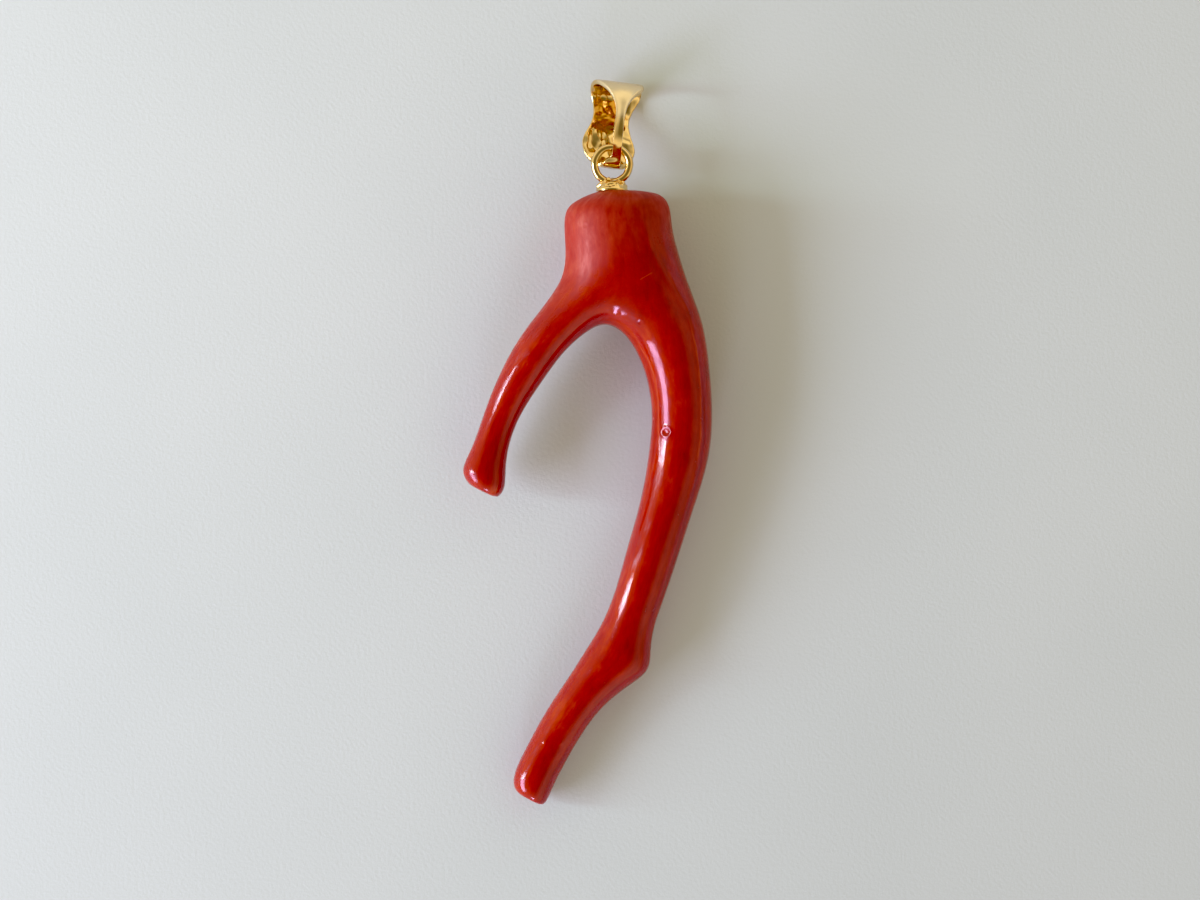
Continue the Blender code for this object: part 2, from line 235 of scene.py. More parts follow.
def coral_cage():
    """The coral's cage: its points, the same points in the grain, and its faces."""
    points, grain, faces = [], [], []

    def add_points(new, new_grain):
        points.extend(new)
        grain.extend(new_grain)
        return list(range(len(points) - len(new), len(points)))

    def bridge(first, second):
        for k in range(RING_POINTS):
            after = (k + 1) % RING_POINTS
            faces.append((first[k], first[after], second[after], second[k]))

    quarter = RING_POINTS // 4
    along = 0.0
    trunk = []
    for i, section in enumerate(TRUNK_SECTIONS):
        if i:
            along += (section_middle(section) - section_middle(TRUNK_SECTIONS[i - 1])).length
        trunk.append(add_points(section_ring(section), grain_ring(along, 0.0, 1.0)))
    fork_along = along
    saddle = add_points(
        [Vector((x, y, SADDLE_HEIGHT + z)) for x, y, z in SADDLE],
        [Vector((0, fork_along + TRUNK_SECTIONS[-1][1] - y, z)) for x, y, z in SADDLE],
    )
    for first, second in zip(trunk, trunk[1:]):
        bridge(first, second)
    faces.append(tuple(trunk[0]))

    fork = trunk[-1]
    top, bottom = quarter, 3 * quarter
    left_start = saddle[2:] + fork[top : bottom + 1] + saddle[:2]
    right_start = fork[: top + 1] + saddle[::-1] + fork[bottom:]
    for start, sections, middle in (
        (left_start, SHORT_BRANCH_SECTIONS, -0.5),
        (right_start, LONG_BRANCH_SECTIONS, 0.5),
    ):
        along = fork_along
        before = section_middle(TRUNK_SECTIONS[-1]) + Vector((middle * 6, 0))
        rings = [start]
        for section in sections:
            along += (section_middle(section) - before).length
            before = section_middle(section)
            rings.append(add_points(section_ring(section), grain_ring(along, middle, 0.5)))
        for first, second in zip(rings, rings[1:]):
            bridge(first, second)
        faces.append(tuple(rings[-1]))
    return points, grain, faces


def smooth_step(low, high, value):
    share = np.clip((value - low) / (high - low), 0.0, 1.0)
    return share * share * (3 - 2 * share)


def noise_at(places, scale, seed):
    """Smooth noise of about -1 to 1, at places stretched by a scale for each axis."""
    shift = Vector((seed * 17.3, seed * 5.1, seed * 9.7))
    stretch = Vector(scale)
    return np.array([
        noise.noise(Vector(p) * stretch + shift, noise_basis="PERLIN_NEW") for p in places
    ])


def refine_near_marks(work, reference):
    """Smaller faces round each mark, laid on the same rounded surface."""
    for x, y, radius, _, _ in MARKS:
        for reach in REFINED_REACHES:
            near = [
                e
                for e in work.edges
                if all(
                    v.co.z > UPPER_SIDE
                    and math.hypot(v.co.x - x, v.co.y - y) < radius * reach + REFINED_MARGIN
                    for v in e.verts
                )
            ]
            old = set(work.verts)
            bmesh.ops.subdivide_edges(work, edges=near, cuts=1, use_grid_fill=True)
            for v in work.verts:
                if v not in old:
                    v.co = reference.find_nearest(v.co)[0]


def coral_relief(places, grain):
    """How far the surface stands out from the rounded cage: slow waves, facets and the marks."""
    x, y, z = places.T
    on_trunk = smooth_step(TRUNK_FROM, TRUNK_TO, y)
    waves = noise_at(grain, (0.45, 0.22, 0.45), 1) * (0.020 + 0.045 * on_trunk)
    ridges = noise_at(grain, (1.10, 0.16, 1.10), 2) * (0.006 + 0.026 * on_trunk)
    dimples = noise_at(places, (0.9, 0.9, 0.9), 3) * 0.006
    relief = waves + ridges + dimples
    for mark_x, mark_y, radius, depth, rim in MARKS:
        reach = np.hypot(x - mark_x, y - mark_y) / radius
        upper = z > UPPER_SIDE
        on_rim = np.exp(-(((reach - RIM_REACH) / RIM_WIDTH) ** 2))
        relief = relief - np.where(upper, depth * np.exp(-(reach**2)), 0)
        relief = relief + np.where(upper, rim * on_rim, 0)
    parts = [
        ridge_height(x, y, (*start, *end, TRUNK_RIDGE_HALF_WIDTH, TRUNK_RIDGE_HEIGHT))
        for start, end in zip(TRUNK_RIDGE, TRUNK_RIDGE[1:])
    ]
    on_top = smooth_step(TRUNK_RIDGE_FROM, TRUNK_RIDGE_TO, z)
    return relief + np.max(parts, axis=0) * on_top


def build_coral(finish):
    """The whole branch as one polished piece, as it grew."""
    points, grain_points, faces = coral_cage()
    places, fine_faces = subdivided("coral", points, faces, CORAL_LEVELS)
    grain, _ = subdivided("grain", grain_points, faces, CORAL_LEVELS)
    near_places, near_faces = subdivided("reference", points, faces, CORAL_LEVELS + 1)
    reference = BVHTree.FromPolygons([Vector(p) for p in near_places], near_faces)

    work = bmesh.new()
    grain_layer = work.verts.layers.float_vector.new("grain")
    for place, in_grain in zip(places, grain):
        vertex = work.verts.new(place)
        vertex[grain_layer] = in_grain
    work.verts.ensure_lookup_table()
    for face in fine_faces:
        work.faces.new([work.verts[i] for i in face])
    bmesh.ops.recalc_face_normals(work, faces=work.faces)
    refine_near_marks(work, reference)
    work.normal_update()
    places = np.array([v.co for v in work.verts])
    grain = np.array([v[grain_layer] for v in work.verts])
    normals = np.array([v.normal for v in work.verts])
    places = places + normals * (coral_relief(places, grain) - CORAL_INSET)[:, None]
    for vertex, place in zip(work.verts, places):
        vertex.co = Vector(place) * MM
    mesh = bpy.data.meshes.new("coral_branch")
    work.to_mesh(mesh)
    work.free()
    mesh.shade_smooth()

    up_the_branch = places[:, 1] - POLISH_LEAN * (places[:, 0] - POLISH_X)
    polish = 1 - smooth_step(POLISH_WHOLE, POLISH_GONE, up_the_branch)
    layer = mesh.attributes.new("polish", "FLOAT", "POINT")
    layer.data.foreach_set("value", polish.astype(np.float32))
    # Painted light and shade: 1 on the side that faces left, towards the window, 0 on the side that
    # faces right.
    side = smooth_step(LIT_SIDE_TURN, -LIT_SIDE_TURN, normals[:, 0])
    layer = mesh.attributes.new("side", "FLOAT", "POINT")
    layer.data.foreach_set("value", side.astype(np.float32))
    coral = bpy.data.objects.new("coral_branch", mesh)
    bpy.context.scene.collection.objects.link(coral)
    mesh.materials.append(finish)
    return coral


# The gold findings: their middle line, the cap and the ring.
FINDING_X = 2.45
FINDING_HEIGHT = 4.72
CAP_BOTTOM_Y = 25.15
RING_CENTRE_Y = 27.72
RING_RADIUS = 1.74
RING_WIRE_RADIUS = 0.39
# The wire is this much thinner than the exact one, to leave room for its unevenness.
WIRE_INSET = 0.015
RING_STEPS = 112
WIRE_STEPS = 32
CAP_STEPS = 48

# The bail's band, bent to a closed loop round the ring's wire, from the bottom bend up the tail,
# over the fold and down the wide plate:
# (left edge, right edge, distance up from the wire, height over the wire, thickness, camber,
# left rim, right rim, valley between them).
BAIL_LEAN = math.radians(12.0)
BAIL_TURN = math.radians(6.0)
BAIL_SECTIONS = (
    (-0.95, 0.80, -1.80, -0.35, 0.50, 0.10, 0.00, 0.00, 0.00),
    (-0.92, 0.80, -1.64, 0.08, 0.42, 0.16, 0.00, 0.00, 0.00),
    (-0.70, 0.84, -1.32, 0.32, 0.38, 0.14, 0.00, 0.00, 0.00),
    (-0.02, 0.90, -0.98, 0.58, 0.34, 0.00, 0.00, 0.00, 0.00),
    (0.05, 0.95, -0.29, 1.10, 0.34, 0.00, 0.00, 0.00, 0.00),
    (0.10, 1.00, 0.42, 1.62, 0.34, 0.00, 0.00, 0.00, 0.00),
    (0.14, 1.05, 0.98, 1.91, 0.36, 0.00, 0.03, 0.03, 0.02),
    (0.18, 1.12, 1.55, 2.05, 0.38, 0.00, 0.05, 0.04, 0.05),
    (0.25, 1.18, 2.20, 2.05, 0.38, 0.00, 0.06, 0.05, 0.10),
    (0.42, 1.28, 3.05, 1.95, 0.40, 0.02, 0.06, 0.07, 0.12),
    (0.42, 1.45, 4.00, 1.68, 0.42, 0.03, 0.05, 0.09, 0.16),
    (0.10, 2.00, 4.95, 1.38, 0.44, 0.06, 0.05, 0.12, 0.22),
    (-0.35, 2.75, 5.65, 0.95, 0.46, 0.10, 0.05, 0.12, 0.22),
    (-0.90, 3.22, 6.14, 0.15, 0.48, 0.12, 0.03, 0.08, 0.14),
    (-1.40, 3.10, 6.47, -0.85, 0.48, 0.12, 0.00, 0.03, 0.06),
    (-1.85, 2.90, 6.53, -2.00, 0.48, 0.06, 0.00, 0.00, 0.00),
    (-2.15, 3.00, 6.22, -3.15, 0.48, 0.00, 0.00, 0.00, 0.00),
    (-2.12, 2.85, 5.50, -3.87, 0.46, -0.06, 0.00, 0.00, 0.00),
    (-1.88, 2.35, 4.60, -4.01, 0.46, -0.12, 0.00, 0.00, 0.00),
    (-1.80, 1.80, 3.60, -3.75, 0.46, -0.12, 0.00, 0.00, 0.00),
    (-1.98, 1.62, 2.60, -3.15, 0.46, -0.10, 0.00, 0.00, 0.00),
    (-2.48, 1.78, 1.65, -2.50, 0.46, -0.04, 0.00, 0.00, 0.00),
    (-2.92, 2.10, 0.75, -2.22, 0.46, 0.02, 0.00, 0.00, 0.00),
    (-2.98, 2.35, -0.05, -2.02, 0.46, 0.02, 0.00, 0.00, 0.00),
    (-2.68, 2.02, -0.85, -1.74, 0.46, 0.00, 0.00, 0.00, 0.00),
    (-2.32, 1.75, -1.45, -1.44, 0.46, 0.00, 0.00, 0.00, 0.00),
    (-1.05, 1.00, -1.85, -0.90, 0.58, 0.00, 0.00, 0.00, 0.00),
)
BAIL_LEVELS = 3
BAIL_ACROSS = (-1.0, -0.90, -0.74, -0.4, 0.0, 0.4, 0.74, 0.90, 1.0)
BAIL_CAGE_GROWTH = 1.025
# Where across the band its rims stand: their full height, and how much of it one step further in.
RIM_PLACE = 0.9
RIM_FOOT_PLACE = 0.74
RIM_FOOT = -0.15

# Ridges on the plate's inner side: (x, y of one end, x, y of the other, half width, height).
PLATE_RIDGES = (
    (-1.50, 1.60, -1.12, 0.42, 0.24, 0.10),
    (-0.60, 1.45, -1.10, 0.40, 0.24, 0.10),
    (-0.35, 1.20, -0.25, 0.70, 0.36, 0.13),
    (-1.95, 1.80, -2.05, 0.10, 0.26, -0.09),
    (-1.75, 0.25, -1.60, -0.10, 0.26, -0.16),
    (-1.00, 0.15, -2.05, -1.05, 0.28, 0.10),
    (0.90, 1.05, 1.75, 0.72, 0.16, -0.06),
    (1.00, 0.55, 1.90, 0.50, 0.34, 0.06),
    (-0.55, -0.20, -0.20, -1.20, 0.30, -0.10),
)
# The front of the bail turns satin between these heights over the wire's middle, and between
# these distances up from it: there it is rougher, and also painted paler and creamier than the
# rest, a painted sheen on the front that faces up into the light. Past the fold the heights count
# as this much more.
SATIN_FROM = 0.35
SATIN_TO = 1.25
SATIN_FROM_Y = 2.3
SATIN_TO_Y = 3.2
FOLD_Y = 5.4
FOLD_RAISE = 2.2
# The rough hollow inside the bail, under its fold, fades in between these distances.
CAVITY_FROM_Y = 2.9
CAVITY_TO_Y = 3.6


def rim_share(share):
    """How much of a rim's height stands at this place across the band."""
    if math.isclose(abs(share), RIM_PLACE):
        return 1.0
    if math.isclose(abs(share), RIM_FOOT_PLACE):
        return RIM_FOOT
    return 0.0


def bail_cage():
    """The bail's cage, with the ring's wire along X at the origin."""
    count = len(BAIL_SECTIONS)
    points, faces = [], []
    for i, section in enumerate(BAIL_SECTIONS):
        left, right, y, z, thickness, camber, left_rim, right_rim, valley = section
        before = BAIL_SECTIONS[i - 1]
        after = BAIL_SECTIONS[(i + 1) % count]
        along = Vector((0, after[2] - before[2], after[3] - before[3])).normalized()
        outwards = Vector((0, -along.z, along.y))
        middle = (left + right) / 2
        half_width = (right - left) / 2 * BAIL_CAGE_GROWTH
        for side, order in ((0.5, BAIL_ACROSS), (-0.5, BAIL_ACROSS[::-1])):
            for share in order:
                x = middle + half_width * share
                curve = 1 - share * share
                lift = thickness * side + camber * curve - valley * curve * curve
                if side > 0:
                    lift += (left_rim if share < 0 else right_rim) * rim_share(share)
                shear = Vector((0, -x * math.tan(BAIL_TURN), -x * math.tan(BAIL_LEAN)))
                points.append(Vector((x, y, z)) + shear + outwards * lift)
    per_section = 2 * len(BAIL_ACROSS)
    for i in range(count):
        first, second = i * per_section, ((i + 1) % count) * per_section
        for k in range(per_section):
            after_k = (k + 1) % per_section
            faces.append((first + k, first + after_k, second + after_k, second + k))
    return points, faces


def ridge_height(x, y, ridge):
    """How high one ridge stands at these places."""
    x0, y0, x1, y1, half_width, height = ridge
    dx, dy = x1 - x0, y1 - y0
    share = np.clip(((x - x0) * dx + (y - y0) * dy) / (dx * dx + dy * dy), 0, 1)
    away = np.hypot(x - x0 - share * dx, y - y0 - share * dy) / half_width
    return height * np.exp(-(away**2))


def vertex_normals(places, faces):
    """The smooth normal at each point of a mesh."""
    mesh = bpy.data.meshes.new("measured")
    mesh.from_pydata([Vector(p) for p in places], [], faces)
    normals = np.empty(len(places) * 3, np.float32)
    mesh.vertex_normals.foreach_get("vector", normals)
    bpy.data.meshes.remove(mesh)
    return normals.reshape(-1, 3).astype(float)


def bail_relief(places, normals):
    """The cast relief on the plate's inner side and the small unevenness of all of it."""
    x, y, z = places.T
    below_wire = smooth_step(-0.3, -0.9, z + x * math.tan(BAIL_LEAN))
    inner = smooth_step(0.25, 0.6, normals[:, 2]) * below_wire
    relief = sum(ridge_height(x, y, ridge) for ridge in PLATE_RIDGES) * inner
    cavity = inner * smooth_step(CAVITY_FROM_Y, CAVITY_TO_Y, y)
    relief = relief + cavity * noise_at(places, (1.1, 1.1, 1.1), 5) * 0.11
    relief = relief + inner * (1 - cavity) * noise_at(places, (1.4, 1.4, 1.4), 7) * 0.055
    relief = relief + noise_at(places, (1.2, 1.2, 1.2), 6) * 0.02
    return relief


def build_bail(finish):
    """The cast bail that hangs in the ring."""
    points, faces = bail_cage()
    places, fine_faces = subdivided("bail", points, faces, BAIL_LEVELS)
    normals = vertex_normals(places, fine_faces)
    outward = 1.0 if normals[np.argmax(places[:, 1]), 1] > 0 else -1.0
    normals = normals * outward
    relief = bail_relief(places, normals)
    height = places[:, 2] + places[:, 0] * math.tan(BAIL_LEAN)
    front = smooth_step(0.1, 0.6, normals[:, 2])
    front = front * smooth_step(SATIN_FROM_Y, SATIN_TO_Y, places[:, 1])
    height = height + FOLD_RAISE * (places[:, 1] > FOLD_Y)
    # The front: a real satin finish, and also a painted sheen on the faces that look up into the
    # light.
    satin_and_sheen = front * smooth_step(SATIN_FROM, SATIN_TO, height)
    places = places + normals * relief[:, None]
    places = places + np.array((FINDING_X, RING_CENTRE_Y + RING_RADIUS, FINDING_HEIGHT))
    bail = add_piece("gold_bail", places, fine_faces, finish)
    layer = bail.data.attributes.new("satin_and_sheen", "FLOAT", "POINT")
    layer.data.foreach_set("value", satin_and_sheen.astype(np.float32))
    return bail


def add_piece(name, places, faces, finish):
    """A smooth piece from points in millimetres."""
    mesh = bpy.data.meshes.new(name)
    mesh.from_pydata([Vector(p) * MM for p in places], [], faces)
    work = bmesh.new()
    work.from_mesh(mesh)
    bmesh.ops.recalc_face_normals(work, faces=work.faces)
    work.to_mesh(mesh)
    work.free()
    mesh.shade_smooth()
    mesh.materials.append(finish)
    piece = bpy.data.objects.new(name, mesh)
    bpy.context.scene.collection.objects.link(piece)
    return piece


def turned(profile, steps):
    """Points and faces of a round solid about +Y, from (y, radius) pairs from axis to axis."""
    points, faces, rings = [], [], []
    for y, radius in profile:
        count = steps if radius > 0 else 1
        rings.append(list(range(len(points), len(points) + count)))
        for k in range(count):
            angle = 2 * math.pi * k / steps
            points.append(Vector((radius * math.cos(angle), y, radius * math.sin(angle))))
    for first, second in zip(rings, rings[1:]):
        for k in range(steps):
            after = (k + 1) % steps
            face = (
                first[k % len(first)],
                first[after % len(first)],
                second[after % len(second)],
                second[k % len(second)],
            )
            faces.append(tuple(dict.fromkeys(face)))
    return points, faces


def wire_ring(radius, wire_radius, steps, wire_steps):
    """Points and faces of a slightly uneven wire ring that lies flat."""
    points, faces = [], []
    for i in range(steps):
        around = 2 * math.pi * i / steps
        wobble = 0.012 * math.sin(3 * around + 0.7) + 0.008 * math.sin(7 * around)
        for j in range(wire_steps):
            over = 2 * math.pi * j / wire_steps
            thick = wire_radius * (1 + 0.02 * math.sin(5 * around + 1.3))
            reach = radius + wobble + thick * math.cos(over)
            height = thick * math.sin(over)
            points.append(Vector((reach * math.cos(around), reach * math.sin(around), height)))
            after_i = (i + 1) % steps
            after_j = (j + 1) % wire_steps
            faces.append((
                i * wire_steps + j,
                after_i * wire_steps + j,
                after_i * wire_steps + after_j,
                i * wire_steps + after_j,
            ))
    return points, faces


def build_ring(finish):
    """The wire ring that the bail hangs in."""
    points, faces = wire_ring(
        RING_RADIUS, RING_WIRE_RADIUS - WIRE_INSET, RING_STEPS, WIRE_STEPS
    )
    centre = Vector((FINDING_X, RING_CENTRE_Y, FINDING_HEIGHT))
    return add_piece("jump_ring", [p + centre for p in points], faces, finish)


# Lumps of solder between the cap and the ring: (x, y, height, radius), from the finding's axis.
SOLDER = (
    (-0.66, 25.92, 0.52, 0.32),
    (-1.05, 25.70, 0.42, 0.34),
    (-1.22, 25.42, 0.30, 0.34),
    (-0.25, 25.66, 0.86, 0.27),
    (-0.62, 25.48, 0.98, 0.24),
    (-0.40, 26.10, 0.20, 0.34),
    (0.55, 26.08, 0.10, 0.36),
    (1.05, 25.78, 0.05, 0.36),
    (1.20, 25.45, 0.20, 0.36),
    (0.10, 26.02, -0.35, 0.42),
    (-0.55, 25.80, -0.66, 0.30),
    (0.62, 25.72, -0.70, 0.30),
    (0.95, 25.45, -0.35, 0.30),
)
# The cap under the solder: (y above its foot, radius).
CAP_PROFILE = (
    (0.98, 0.0),
    (0.98, 0.70),
    (0.88, 0.98),
    (0.66, 1.20),
    (0.36, 1.42),
    (0.12, 1.60),
    (-0.10, 1.60),
    (-0.10, 0.0),
)
# The size of the grid that melts the lumps together, and how often the skin is smoothed.
SOLDER_VOXEL = 0.045
SOLDER_SMOOTHING = 3
# The solder's unevenness fades in between these distances above the cap's foot.
UNEVEN_FROM = 0.05
UNEVEN_TO = 0.35


def ball(centre, radius, rings=10, steps=16):
    """Points and faces of a round lump."""
    profile = [
        (-radius * math.cos(math.pi * k / rings), radius * math.sin(math.pi * k / rings))
        for k in range(rings + 1)
    ]
    profile[0], profile[-1] = (-radius, 0.0), (radius, 0.0)
    points, faces = turned(profile, steps)
    return [p + centre for p in points], faces


def melted(shells, voxel, smoothing):
    """One skin round several overlapping solids, with its corners run together."""
    points, faces = [], []
    for shell_points, shell_faces in shells:
        start = len(points)
        points += shell_points
        faces += [tuple(start + i for i in face) for face in shell_faces]
    mesh = bpy.data.meshes.new("shells")
    mesh.from_pydata(points, [], faces)
    work = bmesh.new()
    work.from_mesh(mesh)
    bmesh.ops.recalc_face_normals(work, faces=work.faces)
    work.to_mesh(mesh)
    work.free()
    holder = bpy.data.objects.new("shells", mesh)
    bpy.context.scene.collection.objects.link(holder)
    skin = holder.modifiers.new("skin", "REMESH")
    skin.mode = "VOXEL"
    skin.voxel_size = voxel
    fine = holder.evaluated_get(bpy.context.evaluated_depsgraph_get()).to_mesh()
    work = bmesh.new()
    work.from_mesh(fine)
    bpy.data.objects.remove(holder)
    bpy.data.meshes.remove(mesh)
    for _ in range(smoothing):
        bmesh.ops.smooth_vert(
            work, verts=work.verts, factor=0.5, use_axis_x=True, use_axis_y=True, use_axis_z=True
        )
    work.verts.index_update()
    places = np.array([v.co for v in work.verts])
    fine_faces = [tuple(v.index for v in f.verts) for f in work.faces]
    work.free()
    return places, fine_faces


def build_cap(finish):
    """The cap on the coral's cut top, with the solder that holds the ring."""
    axis = Vector((FINDING_X, 0, FINDING_HEIGHT))
    points, faces = turned(CAP_PROFILE, CAP_STEPS)
    shells = [([p + axis + Vector((0, CAP_BOTTOM_Y, 0)) for p in points], faces)]
    for x, y, height, radius in SOLDER:
        shells.append(ball(axis + Vector((x, y, height)), radius))
    places, fine_faces = melted(shells, SOLDER_VOXEL, SOLDER_SMOOTHING)
    lumps = noise_at(places, (1.9, 1.9, 1.9), 8) * 0.11
    lumps = lumps + noise_at(places, (4.5, 4.5, 4.5), 9) * 0.04
    free = smooth_step(CAP_BOTTOM_Y + UNEVEN_FROM, CAP_BOTTOM_Y + UNEVEN_TO, places[:, 1])
    places = places + vertex_normals(places, fine_faces) * (lumps * free)[:, None]
    return add_piece("gold_cap", places, fine_faces, finish)


def add_node(tree, kind, inputs=(), **settings):
    """A new node with its settings, and its inputs given as values or as other nodes' sockets."""
    made = tree.nodes.new(kind)
    for name, value in settings.items():
        setattr(made, name, value)
    for key, value in dict(inputs).items():
        if isinstance(value, bpy.types.NodeSocket):
            tree.links.new(value, made.inputs[key])
        else:
            made.inputs[key].default_value = value
    return made


def new_material(name):
    made = bpy.data.materials.new(name)
    made.use_nodes = True
    return made, made.node_tree, made.node_tree.nodes["Principled BSDF"]


def ramp(tree, factor, stops):
    """A colour ramp from (position, colour) stops."""
    made = add_node(tree, "ShaderNodeValToRGB", {"Fac": factor})
    band = made.color_ramp
    while len(band.elements) < len(stops):
        band.elements.new(1.0)
    for element, (position, colour) in zip(band.elements, stops):
        element.position = position
        element.color = (*colour, 1.0)
    return made.outputs["Color"]


def stretched_noise(tree, vector, stretch, scale, detail, roughness=0.55):
    mapped = add_node(tree, "ShaderNodeMapping", {"Vector": vector, "Scale": stretch})
    made = add_node(
        tree,
        "ShaderNodeTexNoise",
        {
            "Vector": mapped.outputs["Vector"],
            "Scale": scale,
            "Detail": detail,
            "Roughness": roughness,
        },
    )
    return made.outputs["Fac"]


def mix_colours(tree, factor, first, second, blend="MIX"):
    made = add_node(tree, "ShaderNodeMix", data_type="RGBA", blend_type=blend)
    for index, value in ((0, factor), (6, first), (7, second)):
        if isinstance(value, bpy.types.NodeSocket):
            tree.links.new(value, made.inputs[index])
        else:
            made.inputs[index].default_value = value if index == 0 else (*value, 1.0)
    return made.outputs[2]


def math_node(tree, operation, first, second):
    made = add_node(tree, "ShaderNodeMath", {0: first, 1: second}, operation=operation)
    return made.outputs[0]


def map_range(tree, value, low, high, to_low, to_high):
    made = add_node(
        tree,
        "ShaderNodeMapRange",
        {"Value": value, "From Min": low, "From Max": high, "To Min": to_low, "To Max": to_high},
    )
    return made.outputs["Result"]


def place_in_mm(tree):
    places = add_node(tree, "ShaderNodeTexCoord").outputs["Object"]
    scaled = add_node(tree, "ShaderNodeVectorMath", {0: places}, operation="SCALE")
    scaled.inputs["Scale"].default_value = 1 / MM
    return scaled.outputs["Vector"]


def scratch_mask(tree, scratch):
    """How strongly a fine scratch lightens this place, 0 away from it."""
    start, end = Vector(scratch[0]), Vector(scratch[1])
    half_width, strength = scratch[2:]
    along = (end - start).normalized()
    middle = (start + end) / 2
    half_length = (end - start).length / 2
    offset = add_node(
        tree, "ShaderNodeVectorMath", {0: place_in_mm(tree), 1: middle}, operation="SUBTRACT"
    ).outputs["Vector"]
    on_line = add_node(
        tree, "ShaderNodeVectorMath", {0: offset, 1: along}, operation="DOT_PRODUCT"
    ).outputs["Value"]
    held = add_node(
        tree, "ShaderNodeClamp", {"Value": on_line, "Min": -half_length, "Max": half_length}
    ).outputs["Result"]
    nearest = add_node(tree, "ShaderNodeVectorMath", {0: along}, operation="SCALE")
    tree.links.new(held, nearest.inputs["Scale"])
    away = add_node(
        tree,
        "ShaderNodeVectorMath",
        {0: offset, 1: nearest.outputs["Vector"]},
        operation="SUBTRACT",
    ).outputs["Vector"]
    flat = add_node(
        tree, "ShaderNodeVectorMath", {0: away, 1: Vector((1, 1, 0))}, operation="MULTIPLY"
    ).outputs["Vector"]
    distance = add_node(
        tree, "ShaderNodeVectorMath", {0: flat}, operation="LENGTH"
    ).outputs["Value"]
    return map_range(tree, distance, half_width * 0.4, half_width, strength, 0.0)


# A line with painted reflection: the margin of x beside it, the share of its half width that is
# full strength, how far from its top and bottom it fades, and the heights over which the upper side
# starts.
LINE_MARGIN = 0.1
LINE_CORE = 0.3
LINE_FADE_IN = 1.5
LINE_FADE_OUT = 2.0
LINE_FROM = 2.6
LINE_TO = 3.4


def reflection_line(tree, line, half_width):
    """1 on a line that runs down the upper side, 0 away from it."""
    parts = add_node(tree, "ShaderNodeSeparateXYZ", {"Vector": place_in_mm(tree)})
    top, bottom = line[0][1], line[-1][1]
    down = map_range(tree, parts.outputs["Y"], top, bottom, 0.0, 1.0)
    xs = [x for x, _ in line]
    left, right = min(xs) - LINE_MARGIN, max(xs) + LINE_MARGIN
    stops = []
    for x, y in line:
        share = (x - left) / (right - left)
        stops.append(((y - top) / (bottom - top), (share, share, share)))
    share = ramp(tree, down, stops)
    line_x = map_range(tree, share, 0.0, 1.0, left, right)
    away = math_node(tree, "SUBTRACT", parts.outputs["X"], line_x)
    distance = math_node(tree, "ABSOLUTE", away, 0.0)
    across = map_range(tree, distance, LINE_CORE * half_width, half_width, 1.0, 0.0)
    fade_in = map_range(tree, parts.outputs["Y"], top, top - LINE_FADE_IN, 0.0, 1.0)
    fade_out = map_range(tree, parts.outputs["Y"], bottom + LINE_FADE_OUT, bottom, 1.0, 0.0)
    upper = map_range(tree, parts.outputs["Z"], LINE_FROM, LINE_TO, 0.0, 1.0)
    ends = math_node(tree, "MULTIPLY", fade_in, fade_out)
    return math_node(tree, "MULTIPLY", math_node(tree, "MULTIPLY", ends, upper), across)


def pale_spots_and_glints(tree):
    """How much paler the coral is in its pale spots and its two painted highlights, 0 away from
    them.
    """
    total = 0.0
    for x, y, radius, strength in PALE_SPOTS_AND_GLINTS:
        offset = add_node(
            tree,
            "ShaderNodeVectorMath",
            {0: place_in_mm(tree), 1: Vector((x, y, 0))},
            operation="SUBTRACT",
        ).outputs["Vector"]
        flat = add_node(
            tree, "ShaderNodeVectorMath", {0: offset, 1: Vector((1, 1, 0))}, operation="MULTIPLY"
        ).outputs["Vector"]
        distance = add_node(
            tree, "ShaderNodeVectorMath", {0: flat}, operation="LENGTH"
        ).outputs["Value"]
        spot = map_range(tree, distance, 0.0, radius, strength, 0.0)
        total = math_node(tree, "ADD", spot, total)
    return total


